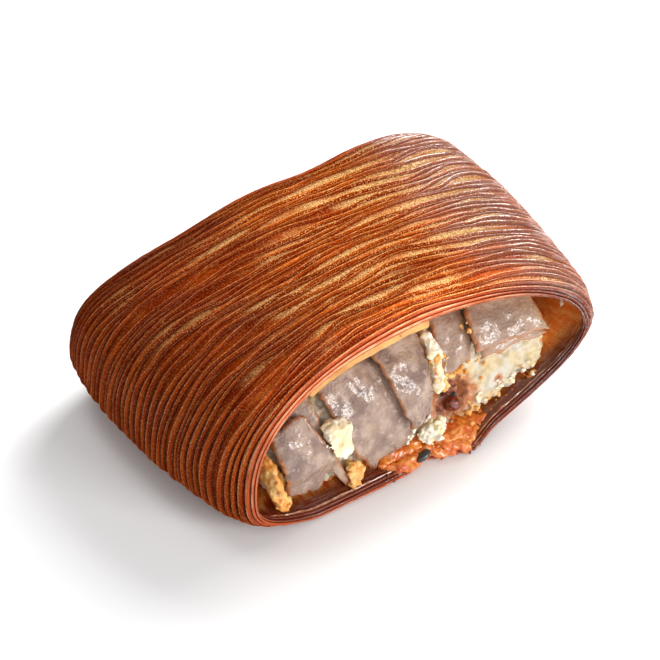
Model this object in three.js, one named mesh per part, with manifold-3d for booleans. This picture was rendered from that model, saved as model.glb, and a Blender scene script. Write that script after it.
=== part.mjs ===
// Savoury danish pastry, in millimetres, +Z up, resting on the flat underside of its crust.
// A flattened tube of laminated dough, open at the front (-Y) and at the back (+Y), is wrapped round
// a bed of sauce, a heap of soft white cheese, draped slices of cured meat and a slice of yellow cheese.

import * as THREE from "three";
import { mergeVertices } from "three/addons/utils/BufferGeometryUtils.js";
import Module from "manifold-3d";

const { clamp, lerp, smoothstep } = THREE.MathUtils;
const wasm = await Module();
wasm.setup();

// Space left between pieces that touch, and between layers that follow the same curve.
const gap = 0.35;
const layerGap = 0.75;
// Depth to which a piece is first let into the wall that then trims it.
const sunk = 0.8;

// Dough wrap. Three values hold at the front rim, halfway and at the back rim.
const wrap = {
  length: 69.6,
  half: { left: [51.2, 60.8, 61], right: [55, 57.6, 54.9] },
  height: [51.3, 50, 50.9],
  // Height of the widest place, as a share of the height.
  waist: { left: [0.273, 0.298, 0.389], right: [0.395, 0.457, 0.424] },
  // Exponents of the cross-section: 2 is an ellipse, more is squarer.
  square: {
    top: { left: [2.33, 2.88, 2.35], right: [1.81, 2.34, 2.66] },
    bottom: { left: [2.52, 2.14, 2.21], right: [1.43, 1.65, 1.48] },
  },
  // Slope of the front and of the back rim against the upright, about the height of their pivot.
  lean: [0.06, -0.122],
  leanPivot: 19,
  // Amount cut off below to give the flat underside.
  sink: 1.5,
  // Extra height of the right edge.
  rightLift: 2.2,
  // Sags in the crown towards the back rim: place and width across, depth as a share of the height.
  sags: [
    { at: -0.58, width: 0.45, depth: 0.125, growth: 2 },
    { at: 0.2, width: 0.275, depth: 0.07, growth: 3 },
  ],
  // Rims: share by which the tube narrows, how far along, and the underside's rise at the very edge.
  narrowing: 0.085,
  narrowingReach: 0.12,
  rimRise: 1.0,
  rimRiseReach: 0.05,
  // Forward push of the lower front lip, and the dents and swellings in it.
  toe: 1.26,
  dents: [
    { x: 1, width: 3.4, depth: 1.8 },
    { x: 13.9, width: 5.4, depth: -2 },
  ],
  dentReach: 0.12,
  // Swelling of the right corner of the front mouth: its turn round the tube, width and depth.
  corner: { turn: 5.87, width: 0.283, depth: 1.45 },
  // Thickness of the rounded lip and of the wall behind it.
  lip: 3.2,
  lipReach: 0.03,
  wall: 5,
  wallReach: 0.2,
};

// Heap of filling: the surface that the meat slices are draped over.
const heap = {
  // Place along the wrap whose ceiling the heap follows.
  section: 0.5,
  middle: 34.5,
  reach: 32.2,
  square: 2.5,
  // Room under the crust's ceiling, more of it where two slices lie under the yellow cheese.
  headroom: 5.8,
  extraHeadroom: { x: -0.5, width: 11, depth: 2.6 },
  // Height of the heap's foot above the floor.
  footAbove: 0.8,
  // Sides of the heap, how squarely they fall, its bulge halfway and its spread towards the wider back.
  sides: [-42, 47],
  sideSquare: 5,
  bulge: 0.08,
  spread: 0.1,
};

// Sauce on the floor. It starts further in on the left, where the lower lip is clean.
const sauce = {
  left: -34,
  right: 37,
  depth: 1.7,
  edge: 0.5,
  // Where it has run out over the lower lip, in a thinner sheet.
  spill: { x: 9, width: 8, depth: 1.1, reach: [0.02, 0.12] },
  // To the right it thins out under the cheese.
  thins: { between: [13, 20], depth: 0.6 },
  startsAt: [0.09, 0.04],
  startsBetween: [-24, -8],
  endsAt: 0.96,
  // Exponent that brings the rows closer together at the front.
  crowding: 1.5,
};

// Heap of white cheese under the meat.
const cheese = { left: -38.5, right: 38.5, aboveSauce: 0.5, thinnest: 0.8 };

// Hollows in the front of the cheese heap: place across, turn, widths and depth.
const hollows = [
  { x: 10.5, turn: 0.2, across: 4.5, along: 0.16, depth: 4 },
  { x: 2, turn: 0, across: 7, along: 0.2, depth: 3.5 },
];

// Slices of meat. Edges are x at the front end, halfway and at the back end. Turns say where the ends
// lie round the heap: 0 is the front foot, pi/2 the crest, pi the back foot. The slant turns the right
// end of the front edge on, the skew moves the front end of the left edge, and tips are the shares of
// the length over which the ends narrow. A slice lies one level up where it covers its neighbour.
const meatThickness = 2.0;
const meatLevel = meatThickness + layerGap;
const skewReach = 0.11;
const slices = [
  { name: "meat_slice_1", left: [-37, -37, -36.5], right: [-19.5, -24.3, -28], turns: [0.09, 0.76],
    slant: -0.11, skew: 0, tips: [0, 0], level: (x, turn) => smoothstep(turn, 0.16, 0.32) },
  { name: "meat_slice_2", left: [-36, -37, -38], right: [-24, -23.8, -25.5], turns: [0.36, 2.95],
    slant: 0, skew: 0, tips: [0, 0], level: () => 0 },
  { name: "meat_slice_3", left: [-22.6, -22.6, -23.5], right: [-1.5, -1, -3], turns: [0.01, 3.04],
    slant: 0.1, skew: 9, tips: [0, 0], level: () => 0 },
  { name: "meat_slice_4", left: [-3, -9, -9], right: [4.5, 7.4, 8.4], turns: [0.25, 2.9],
    slant: 0, skew: 0, tips: [0.07, 0.1], level: (x) => 1 - smoothstep(x, 0, 8.5) },
  { name: "meat_slice_5", left: [8.9, 10.4, 11], right: [17, 19.8, 20.5], turns: [0.45, 2.84],
    slant: 0.06, skew: 0, tips: [0, 0], level: () => 0 },
  { name: "meat_slice_6", left: [17, 18.6, 19], right: [37.6, 32, 31.5], turns: [0.55, 2.8],
    slant: -0.07, skew: 0, tips: [0, 0], level: () => 1 },
  { name: "meat_slice_7", left: [20, 22.2, 23], right: [38.6, 32, 31], turns: [0.46, 2.88],
    slant: -0.08, skew: 0, tips: [0, 0], level: () => 0 },
];
const bluntTip = 0.002;
const raggedEdge = { across: 0.35, along: 0.02, wavesAcross: 23, wavesAlong: 9 };

// Slice of yellow cheese against the ceiling of the crust.
const yellowSlice = { left: -30, right: 4, thickness: 2.2, startsAt: 0.02, endsAt: 0.96, waves: 7 };

// Lumps of cheese on the heap: place, radii across, along and out from the heap, and rise of the middle.
const lumps = [
  { name: "cheese_lump_left", x: -23.2, turn: 0.41, across: 5, along: 5.5, out: 3.6, rise: 2.6 },
  { name: "cheese_lump_middle", x: -18.8, turn: 0.05, across: 2.6, along: 3.6, out: 2.4, rise: 1.4 },
  { name: "cheese_lump_top", x: 7.4, turn: 0.66, across: 2.3, along: 8.5, out: 3, rise: 1.4 },
  { name: "cheese_lump_low", x: 4.5, turn: 0.08, across: 4.4, along: 3.6, out: 2.6, rise: 1.2 },
  { name: "cheese_strip_left", x: -38.6, turn: 0.3, across: 2.2, along: 9.5, out: 3, rise: 0.6 },
];
const toastedLumps = ["cheese_lump_middle", "cheese_strip_left"];

const unevenness = { depth: 0.12, waves: [4, 5, 3] };
const smallTurn = 0.05;

// Mesh fineness: steps round and along the wrap, across and along each other piece.
const fineness = {
  around: 52,
  rimSteps: 4,
  outerSteps: 9,
  innerSteps: 7,
  slice: [5, 12],
  heap: [14, 12],
  sauce: [12, 9],
  yellow: [8, 7],
  lump: 2,
};

const looks = {
  crust: { color: 0x8f4a22, roughness: 0.55 },
  meat: { color: 0x8d7268, roughness: 0.35 },
  whiteCheese: { color: 0xe9dcb4, roughness: 0.6 },
  toastedCheese: { color: 0xd9993f, roughness: 0.65 },
  yellowCheese: { color: 0xe3b155, roughness: 0.5 },
  sauce: { color: 0xc2561f, roughness: 0.3 },
};

// Small shaping functions.
const between = ([a, b], t) => lerp(a, b, t);
const bell = (t) => Math.exp(-t * t);
const quarterRound = (t) => Math.sqrt(1 - (1 - clamp(t, 0, 1)) ** 2);
const signedPower = (t, power) => Math.sign(t) * Math.abs(t) ** power;
const along = ([a, b, c], t) => (a * (1 - t) - c * t) * (1 - 2 * t) + 4 * b * t * (1 - t);
const sideOf = (x) => (x < 0 ? "left" : "right");

// Share of the full width that the tube keeps where its rims turn in.
function narrowed(v) {
  const end = (t) => 1 - wrap.narrowing * (1 - quarterRound(t / wrap.narrowingReach));
  return end(v) * end(1 - v);
}

// Depth of the wall's inner surface under the outer skin.
function wallDepth(v) {
  const fromRim = Math.min(v, 1 - v);
  const lip = wrap.lip * quarterRound(fromRim / wrap.lipReach);
  return lip + (wrap.wall - wrap.lip) * smoothstep(fromRim, wrap.lipReach, wrap.wallReach);
}

// Point of the wall: u goes round the tube from the right side over the top, v runs from the front
// rim to the back rim, inset is the depth under the outer skin.
function wallPoint(u, v, inset) {
  const c = Math.cos(u);
  const s = Math.sin(u);
  const side = sideOf(c);
  const isTop = s >= 0;
  const power = 2 / along(wrap.square[isTop ? "top" : "bottom"][side], v);
  const across = signedPower(c, power);
  const upward = Math.abs(s) ** power;
  const height = along(wrap.height, v);
  const waist = height * lerp(along(wrap.waist.left, v), along(wrap.waist.right, v), 0.5 + 0.5 * c);
  const fromRims = quarterRound(v / wrap.rimRiseReach) + quarterRound((1 - v) / wrap.rimRiseReach);
  const underside = wrap.rimRise * (2 - fromRims) + inset;
  let crown = height;
  for (const { at, width, depth, growth } of wrap.sags) {
    crown -= height * depth * bell((across - at) / width) * v ** growth;
  }
  const reach = isTop ? (crown - waist) * narrowed(v) - inset : inset - waist;
  const lifted = wrap.rightLift * clamp(across, 0, 1) ** 2;
  const z = Math.max(waist + reach * upward + lifted - wrap.sink, underside);
  const x = across * (along(wrap.half[side], v) * narrowed(v) - inset);
  const point = new THREE.Vector3(x, wrap.length * v + (z - wrap.leanPivot) * between(wrap.lean, v), z);
  if (!isTop) {
    point.y -= wrap.toe * upward * (1 - v) ** 3;
    for (const { x: at, width, depth } of wrap.dents) {
      point.y += depth * bell((x - at) / width) * (1 - smoothstep(v, 0, wrap.dentReach));
    }
  }
  const { turn, width, depth } = wrap.corner;
  const swelling = depth * bell(Math.acos(Math.cos(u - turn)) / width) * (1 - v) ** 2;
  point.x += swelling * c;
  point.z = Math.max(point.z + swelling * s, underside);
  return point;
}

// Point of the wall above or below a place x across the tube.
function wallPointAt(x, v, inset, isTop) {
  const side = sideOf(x);
  const half = along(wrap.half[side], v) * narrowed(v) - inset;
  const power = along(wrap.square[isTop ? "top" : "bottom"][side], v) / 2;
  const turn = Math.acos(clamp(signedPower(x / half, power), -1, 1));
  return wallPoint(isTop ? turn : 2 * Math.PI - turn, v, inset);
}

// Point of the heap's draped surface, raised by a height above it.
function drapePoint(place, turn, raised) {
  const power = 2 / heap.square;
  const x = place * (1 + heap.spread * turn / Math.PI + heap.bulge * Math.sin(turn));
  const y = heap.middle - (heap.reach + raised) * signedPower(Math.cos(turn), power);
  const v = clamp(y / wrap.length, wrap.lipReach, 1 - wrap.lipReach);
  const foot = wallPointAt(x, v, wallDepth(v), false).z + heap.footAbove;
  const ceiling = wallPointAt(x, heap.section, wrap.wall, true).z;
  const [left, right] = heap.sides;
  const fromMiddle = Math.abs((2 * place - left - right) / (right - left));
  const fall = (1 - Math.min(fromMiddle, 1) ** heap.sideSquare) ** (1 / heap.sideSquare);
  const extra = heap.extraHeadroom;
  const headroom = heap.headroom + extra.depth * bell(((place - extra.x) / extra.width) ** 2);
  const rise = (ceiling - headroom - foot) * fall + raised;
  const z = foot + rise * signedPower(Math.sin(turn), power);
  return new THREE.Vector3(x, y, z);
}

const spillAt = (x) => bell((x - sauce.spill.x) / sauce.spill.width);

// Thickness of the sauce over the floor.
function sauceDepth(x, v) {
  const spilled = spillAt(x) * (1 - smoothstep(v, ...sauce.spill.reach));
  const depth = lerp(sauce.depth, sauce.thins.depth, smoothstep(x, ...sauce.thins.between));
  return lerp(depth, sauce.spill.depth, spilled);
}

function sauceFloor(x, v) {
  return wallPointAt(x, v, wallDepth(v), false);
}

// Geometry from points and triangles, turned so that its faces point outwards.
function closedGeometry(points, triangles) {
  let volume = 0;
  const normal = new THREE.Vector3();
  for (const [a, b, c] of triangles) {
    volume += points[a].dot(normal.crossVectors(points[b], points[c]));
  }
  const facing = volume < 0 ? triangles.map(([a, b, c]) => [a, c, b]) : triangles;
  const geometry = new THREE.BufferGeometry().setFromPoints(points);
  geometry.setIndex(facing.flat());
  return geometry;
}

// Two triangles over a four-sided patch.
const patch = (a, b, c, d) => [[a, b, c], [a, c, d]];

// Closed slab between a lower and an upper surface, each given over s and t from 0 to 1.
function slabGeometry([across, length], lowerAt, upperAt) {
  const points = [];
  for (const pointAt of [lowerAt, upperAt]) {
    for (let i = 0; i <= across; i++) {
      for (let j = 0; j <= length; j++) {
        points.push(pointAt(i / across, j / length));
      }
    }
  }
  const upper = (across + 1) * (length + 1);
  const at = (i, j) => i * (length + 1) + j;
  const triangles = [];
  for (let i = 0; i < across; i++) {
    for (let j = 0; j < length; j++) {
      const corners = [at(i, j), at(i + 1, j), at(i + 1, j + 1), at(i, j + 1)];
      triangles.push(...patch(...corners.map((k) => k + upper)));
      triangles.push(...patch(...corners.reverse()));
    }
  }
  const rim = [];
  for (let i = 0; i < across; i++) rim.push(at(i, 0));
  for (let j = 0; j < length; j++) rim.push(at(across, j));
  for (let i = across; i > 0; i--) rim.push(at(i, length));
  for (let j = length; j > 0; j--) rim.push(at(0, j));
  rim.forEach((k, n) => {
    const next = rim[(n + 1) % rim.length];
    triangles.push(...patch(k, next, next + upper, k + upper));
  });
  return closedGeometry(points, triangles);
}

// Places from rim to rim, close together over the rounded reach of each rim.
function placesAlong(reach, count) {
  const steps = fineness.rimSteps;
  const rim = Array.from({ length: steps }, (_, i) => reach * (1 - Math.cos(i * Math.PI / 2 / steps)));
  const straight = Array.from({ length: count + 1 }, (_, i) => lerp(reach, 1 - reach, i / count));
  return [...rim, ...straight, ...rim.map((v) => 1 - v).reverse()];
}

// Rows of the wrap's wall: out over the skin from front to back, then back along the inside.
function wallRows() {
  const outer = placesAlong(wrap.narrowingReach, fineness.outerSteps);
  const inner = placesAlong(wrap.lipReach, fineness.innerSteps).reverse().slice(1, -1);
  return [...outer.map((v) => ({ v, inset: 0 })), ...inner.map((v) => ({ v, inset: wallDepth(v) }))];
}

// The wrap, grown all round by a margin where it is used as a cutter.
function wrapGeometry(margin) {
  const rows = wallRows();
  const around = fineness.around;
  const points = [];
  const triangles = [];
  rows.forEach(({ v, inset }, i) => {
    for (let j = 0; j < around; j++) {
      const grown = inset > 0 ? inset + margin : -margin;
      const point = wallPoint(2 * Math.PI * j / around, v, grown);
      point.y += margin * (2 * v - 1);
      points.push(point);
      const [row, nextRow] = [i * around, ((i + 1) % rows.length) * around];
      const next = (j + 1) % around;
      triangles.push(...patch(row + j, row + next, nextRow + next, nextRow + j));
    }
  });
  return closedGeometry(points, triangles);
}

// Slice of meat draped over the heap, grown all round by a margin where it is used as a cutter.
function sliceGeometry(slice, margin) {
  const phase = slice.left[0];
  const pointAt = (s, t, raised) => {
    const ragged = raggedEdge.along * Math.sin(raggedEdge.wavesAlong * s + phase);
    const ends = [slice.turns[0] + slice.slant * s, slice.turns[1]];
    const turn = between(ends, t) + ragged + (2 * t - 1) * margin / heap.reach;
    const [frontTip, backTip] = slice.tips;
    const narrow = quarterRound((t + bluntTip) / frontTip) * quarterRound((1 - t + bluntTip) / backTip);
    const wave = raggedEdge.across * Math.sin(raggedEdge.wavesAcross * t + phase);
    const left = along(slice.left, t) + wave + slice.skew * Math.exp(-t / skewReach);
    const right = along(slice.right, t) - wave;
    const x = lerp(left, lerp(left, right, narrow), s) + (2 * s - 1) * margin;
    return drapePoint(x, turn, slice.level(x, turn) * meatLevel + raised);
  };
  const lowerAt = (s, t) => pointAt(s, t, -margin);
  const upperAt = (s, t) => pointAt(s, t, meatThickness + margin);
  return slabGeometry(fineness.slice, lowerAt, upperAt);
}

// Heap of white cheese between the sauce and the draped slices, grown where it is used as a cutter.
function heapGeometry(margin) {
  const placeAt = (s) => lerp(cheese.left, cheese.right, s);
  const baseUnder = ({ x, y }) => {
    const v = clamp(y / wrap.length, 0, 1);
    return sauceFloor(x, v).z + gap + sauceDepth(x, v) + cheese.aboveSauce;
  };
  const upperAt = (s, t) => {
    const turn = Math.PI * t;
    let raised = margin - layerGap;
    for (const hollow of hollows) {
      const near = bell((placeAt(s) - hollow.x) / hollow.across) * bell((turn - hollow.turn) / hollow.along);
      raised -= hollow.depth * near;
    }
    const top = drapePoint(placeAt(s), turn, raised);
    return top.setZ(Math.max(top.z, baseUnder(top) + cheese.thinnest + margin));
  };
  const lowerAt = (s, t) => {
    const bottom = drapePoint(placeAt(s), Math.PI * t, margin - layerGap);
    return bottom.setZ(baseUnder(bottom) - margin);
  };
  return slabGeometry(fineness.heap, lowerAt, upperAt);
}

// Bed of sauce on the floor, running out over the lower lip.
function sauceGeometry() {
  const baseAt = (s, t) => {
    const x = lerp(sauce.left, sauce.right, s);
    const start = between(sauce.startsAt, smoothstep(x, ...sauce.startsBetween)) * (1 - spillAt(x));
    const v = lerp(start, sauce.endsAt, t ** sauce.crowding);
    return { x, v, floor: sauceFloor(x, v) };
  };
  const lowerAt = (s, t) => {
    const { floor } = baseAt(s, t);
    floor.z -= sunk;
    return floor;
  };
  const upperAt = (s, t) => {
    const { x, v, floor } = baseAt(s, t);
    const fromEdge = Math.min(s, 1 - s, t, 1 - t) === 0 ? sauce.edge : sauceDepth(x, v);
    floor.z += gap + fromEdge;
    return floor;
  };
  return slabGeometry(fineness.sauce, lowerAt, upperAt);
}

// Slice of yellow cheese that hangs against the ceiling.
function yellowGeometry() {
  const pointAt = (s, t, depth) => {
    const v = lerp(yellowSlice.startsAt, yellowSlice.endsAt, t);
    const wave = Math.sin(yellowSlice.waves * t);
    const x = lerp(yellowSlice.left + wave, yellowSlice.right + wave, s);
    return wallPointAt(x, v, wallDepth(v) + gap + depth, true);
  };
  const upperAt = (s, t) => pointAt(s, t, -gap - sunk);
  const lowerAt = (s, t) => pointAt(s, t, yellowSlice.thickness);
  return slabGeometry(fineness.yellow, lowerAt, upperAt);
}

// Uneven lump pressed onto the heap, long down the slope, grown by a margin where it is a cutter.
function lumpGeometry(lump, margin) {
  const ball = new THREE.IcosahedronGeometry(1, fineness.lump);
  ball.deleteAttribute("normal");
  ball.deleteAttribute("uv");
  const merged = mergeVertices(ball);
  const position = merged.getAttribute("position");
  const below = drapePoint(lump.x, lump.turn, lump.rise);
  const lengthPerTurn = below.distanceTo(drapePoint(lump.x, lump.turn + smallTurn, lump.rise)) / smallTurn;
  const [a, b, c] = unevenness.waves;
  const point = new THREE.Vector3();
  for (let i = 0; i < position.count; i++) {
    point.fromBufferAttribute(position, i);
    const wave = Math.sin(a * point.x + lump.x) * Math.cos(b * point.y + c * point.z);
    const uneven = 1 + unevenness.depth * wave;
    const x = lump.x + point.x * (lump.across * uneven + margin);
    const turn = lump.turn + point.y * (lump.along * uneven + margin) / lengthPerTurn;
    const raised = lump.rise + point.z * (lump.out * uneven + margin);
    point.copy(drapePoint(x, turn, raised));
    position.setXYZ(i, point.x, point.y, point.z);
  }
  return merged;
}

function toSolid(geometry) {
  const vertProperties = Float32Array.from(geometry.getAttribute("position").array);
  const triVerts = Uint32Array.from(geometry.getIndex().array);
  return new wasm.Manifold(new wasm.Mesh({ numProp: 3, vertProperties, triVerts }));
}

function toGeometry(solid) {
  const { vertProperties, triVerts } = solid.getMesh();
  const geometry = new THREE.BufferGeometry();
  geometry.setAttribute("position", new THREE.BufferAttribute(Float32Array.from(vertProperties), 3));
  geometry.setIndex(Array.from(triVerts));
  return geometry;
}

// What is left of a piece, in its largest part, once its neighbours are cut out of it.
function trimmed(geometry, cutters) {
  let solid = toSolid(geometry);
  for (const cutter of cutters) {
    solid = solid.subtract(toSolid(cutter));
  }
  const parts = solid.decompose().sort((a, b) => b.volume() - a.volume());
  return toGeometry(parts[0]);
}

const pastry = new THREE.Group();

function addPiece(name, geometry, { color, roughness }) {
  geometry.computeVertexNormals();
  const material = new THREE.MeshStandardMaterial({ color, roughness, metalness: 0 });
  const mesh = new THREE.Mesh(geometry, material);
  mesh.name = name;
  pastry.add(mesh);
}

const wrapShape = wrapGeometry(0);
addPiece("pastry_wrap", wrapShape, looks.crust);

// Meat lies over everything else, lumps are pressed against the meat, and the heap and sauce give way.
const grownWrap = wrapGeometry(gap);
const grownSlices = slices.map((slice) => sliceGeometry(slice, layerGap));
const grownLumps = lumps.map((lump) => lumpGeometry(lump, gap));
for (const slice of slices) {
  addPiece(slice.name, trimmed(sliceGeometry(slice, 0), [grownWrap]), looks.meat);
}
lumps.forEach((lump, i) => {
  const look = toastedLumps.includes(lump.name) ? looks.toastedCheese : looks.whiteCheese;
  const cutters = [grownWrap, ...grownSlices, ...grownLumps.slice(0, i)];
  addPiece(lump.name, trimmed(lumpGeometry(lump, 0), cutters), look);
});
addPiece("cheese_heap", trimmed(heapGeometry(0), [grownWrap, ...grownLumps]), looks.whiteCheese);
const sauceCutters = [grownWrap, ...grownLumps, ...grownSlices, heapGeometry(gap)];
addPiece("sauce_bed", trimmed(sauceGeometry(), sauceCutters), looks.sauce);
addPiece("yellow_cheese_slice", trimmed(yellowGeometry(), [grownWrap]), looks.yellowCheese);

// The origin is under the middle of the whole.
wrapShape.computeBoundingBox();
const middle = wrapShape.boundingBox.getCenter(new THREE.Vector3());
pastry.position.set(-middle.x, -middle.y, 0);

const danish = new THREE.Group();
danish.add(pastry);

export default danish;
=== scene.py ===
import bisect
import math
import random

import bmesh
import bpy
from mathutils import Matrix, Vector, noise
from mathutils.bvhtree import BVHTree


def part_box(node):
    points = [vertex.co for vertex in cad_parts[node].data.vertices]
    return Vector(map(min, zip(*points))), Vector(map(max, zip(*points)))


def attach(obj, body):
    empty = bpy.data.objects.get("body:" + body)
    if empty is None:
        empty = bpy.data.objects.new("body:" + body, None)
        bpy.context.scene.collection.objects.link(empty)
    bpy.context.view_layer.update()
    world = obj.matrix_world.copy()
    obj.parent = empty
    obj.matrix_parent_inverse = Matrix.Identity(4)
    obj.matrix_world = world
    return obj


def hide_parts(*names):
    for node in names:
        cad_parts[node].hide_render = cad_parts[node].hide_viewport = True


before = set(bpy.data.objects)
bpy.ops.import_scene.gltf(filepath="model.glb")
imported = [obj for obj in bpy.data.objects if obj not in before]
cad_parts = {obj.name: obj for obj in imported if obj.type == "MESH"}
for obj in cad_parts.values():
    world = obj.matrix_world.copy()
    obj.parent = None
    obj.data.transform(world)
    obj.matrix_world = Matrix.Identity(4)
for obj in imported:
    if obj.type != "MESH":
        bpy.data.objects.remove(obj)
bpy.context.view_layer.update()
mm = 0.001
print("frame loaded:", len(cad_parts), "nodes")


# small helpers for shapes
def clamp(t, low=0.0, high=1.0):
    return max(low, min(high, t))


def lerp(a, b, t):
    return a + (b - a) * t


def between(pair, t):
    return lerp(pair[0], pair[1], t)


def along(three, t):
    a, b, c = three
    return (a * (1 - t) - c * t) * (1 - 2 * t) + 4 * b * t * (1 - t)


def ease(t, low, high):
    t = clamp((t - low) / (high - low))
    return t * t * (3 - 2 * t)


def bell(t):
    return math.exp(-t * t)


def quarterRound(t):
    return math.sqrt(1 - (1 - clamp(t)) ** 2)


def signedPower(t, power):
    return math.copysign(abs(t) ** power, t)


# shape of the dough tube, in millimetres; three values hold at the front rim, halfway and at the back rim
tube = {
    "length": 69.6,
    "half": {"left": (51.2, 60.8, 61), "right": (55, 57.6, 54.9)},
    "height": (51.3, 50, 50.9),
    "waist": {"left": (0.273, 0.298, 0.389), "right": (0.395, 0.457, 0.424)},  # share of the height
    "top": {"left": (2.33, 2.88, 2.35), "right": (1.81, 2.34, 2.66)},  # exponents, 2 is an ellipse
    "bottom": {"left": (2.52, 2.14, 2.21), "right": (1.43, 1.65, 1.48)},
    "lean": (0.06, -0.122),  # slope of the front and of the back rim
    "leanPivot": 19,
    "sink": 1.5,  # cut off by the flat underside
    "rightLift": 2.2,
    "sags": ((-0.58, 0.45, 0.125, 2), (0.2, 0.275, 0.07, 3)),  # place, width, depth, growth to the back
    "narrowing": 0.085,
    "narrowingReach": 0.12,
    "rimRise": 1.0,
    "rimRiseReach": 0.05,
    "toe": 1.26,  # lower front lip pushed forward
    "dents": ((1, 3.4, 1.8), (13.9, 5.4, -2)),  # in the lower lip: place, width, depth
    "dentReach": 0.12,
    "corner": (5.87, 0.283, 1.45),  # swelling at the right of the mouth: turn, width, depth
    "lip": 3.2,
    "lipReach": 0.03,
    "wall": 5,
    "wallReach": 0.2,
}


def sideOf(x):
    return "left" if x < 0 else "right"


def narrowed(v):
    front = 1 - quarterRound(v / tube["narrowingReach"])
    back = 1 - quarterRound((1 - v) / tube["narrowingReach"])
    return (1 - tube["narrowing"] * front) * (1 - tube["narrowing"] * back)


def wallDepth(v):
    fromRim = min(v, 1 - v)
    lip = tube["lip"] * quarterRound(fromRim / tube["lipReach"])
    return lip + (tube["wall"] - tube["lip"]) * ease(fromRim, tube["lipReach"], tube["wallReach"])


# u turns round the tube from the right side over the top, v runs from the front rim to the back rim
def wallPoint(u, v, inset):
    c, s = math.cos(u), math.sin(u)
    side = sideOf(c)
    isTop = s >= 0
    power = 2 / along(tube["top" if isTop else "bottom"][side], v)
    across = signedPower(c, power)
    upward = abs(s) ** power
    height = along(tube["height"], v)
    waist = height * lerp(along(tube["waist"]["left"], v), along(tube["waist"]["right"], v), 0.5 + 0.5 * c)
    fromRims = quarterRound(v / tube["rimRiseReach"]) + quarterRound((1 - v) / tube["rimRiseReach"])
    underside = tube["rimRise"] * (2 - fromRims) + inset
    crown = height
    for at, width, depth, growth in tube["sags"]:
        crown -= height * depth * bell((across - at) / width) * v ** growth
    reach = (crown - waist) * narrowed(v) - inset if isTop else inset - waist
    z = max(waist + reach * upward + tube["rightLift"] * clamp(across) ** 2 - tube["sink"], underside)
    x = across * (along(tube["half"][side], v) * narrowed(v) - inset)
    y = tube["length"] * v + (z - tube["leanPivot"]) * between(tube["lean"], v)
    if not isTop:
        y -= tube["toe"] * upward * (1 - v) ** 3
        for at, width, depth in tube["dents"]:
            y += depth * bell((x - at) / width) * (1 - ease(v, 0, tube["dentReach"]))
    turn, width, depth = tube["corner"]
    swelling = depth * bell(math.acos(clamp(math.cos(u - turn), -1, 1)) / width) * (1 - v) ** 2
    return Vector((x + swelling * c, y, max(z + swelling * s, underside)))


def wallPointAt(x, v, inset, isTop):
    half = along(tube["half"][sideOf(x)], v) * narrowed(v) - inset
    power = along(tube["top" if isTop else "bottom"][sideOf(x)], v) / 2
    turn = math.acos(clamp(signedPower(x / half, power), -1, 1))
    return wallPoint(turn if isTop else 2 * math.pi - turn, v, inset)


# surface that the meat is draped over: turn 0 is the front foot, pi / 2 the crest, pi the back foot
heap = {
    "section": 0.5,  # place along the tube whose ceiling the heap follows
    "middle": 34.5,
    "reach": 32.2,
    "square": 2.5,
    "headroom": 5.8,
    "extraRoom": {"x": -0.5, "width": 11, "depth": 2.6},
    "footAbove": 0.8,
    "sides": (-42, 47),
    "sideSquare": 5,
    "bulge": 0.08,
    "spread": 0.1,
}


def drapePoint(place, turn, raised):
    power = 2 / heap["square"]
    x = place * (1 + heap["spread"] * turn / math.pi + heap["bulge"] * math.sin(turn))
    y = heap["middle"] - (heap["reach"] + raised) * signedPower(math.cos(turn), power)
    v = clamp(y / tube["length"], tube["lipReach"], 1 - tube["lipReach"])
    foot = wallPointAt(x, v, wallDepth(v), False).z + heap["footAbove"]
    ceiling = wallPointAt(x, heap["section"], tube["wall"], True).z
    left, right = heap["sides"]
    fromMiddle = min(abs((2 * place - left - right) / (right - left)), 1)
    fall = (1 - fromMiddle ** heap["sideSquare"]) ** (1 / heap["sideSquare"])
    extra = heap["extraRoom"]
    headroom = heap["headroom"] + extra["depth"] * bell(((place - extra["x"]) / extra["width"]) ** 2)
    z = foot + ((ceiling - headroom - foot) * fall + raised) * signedPower(math.sin(turn), power)
    return Vector((x, y, z))


# the shapes above start at the front mouth, and the frame at the middle of the tube's box
def mouthPlace():
    steps, rings = 52, 40
    turns = [2 * math.pi * i / steps for i in range(steps)]
    skin = [wallPoint(u, n / rings, 0) for u in turns for n in range(rings + 1)]
    low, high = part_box("pastry_wrap")
    middle = (low + high) / 2 / mm
    x = middle.x - (min(p.x for p in skin) + max(p.x for p in skin)) / 2
    y = middle.y - (min(p.y for p in skin) + max(p.y for p in skin)) / 2
    return Vector((x, y, 0))


mouth = mouthPlace()
print("front mouth at", [round(n, 2) for n in mouth], "mm")


def inFrame(point):
    return (point + mouth) * mm


# material nodes: Python operators on values add Math nodes
class Value:
    def __init__(self, look, socket):
        self.look = look
        self.socket = socket

    def calc(self, operation, *terms):
        return self.look.node("Math", {"operation": operation}, dict(enumerate(terms)))

    def __add__(self, other):
        return self.calc("ADD", self, other)

    def __radd__(self, other):
        return self.calc("ADD", other, self)

    def __sub__(self, other):
        return self.calc("SUBTRACT", self, other)

    def __rsub__(self, other):
        return self.calc("SUBTRACT", other, self)

    def __mul__(self, other):
        return self.calc("MULTIPLY", self, other)

    def __rmul__(self, other):
        return self.calc("MULTIPLY", other, self)

    def __truediv__(self, other):
        return self.calc("DIVIDE", self, other)

    def fraction(self):
        return self.calc("FRACT", self)

    def whole(self):
        return self.calc("FLOOR", self)

    def size(self):
        return self.calc("ABSOLUTE", self)


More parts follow.
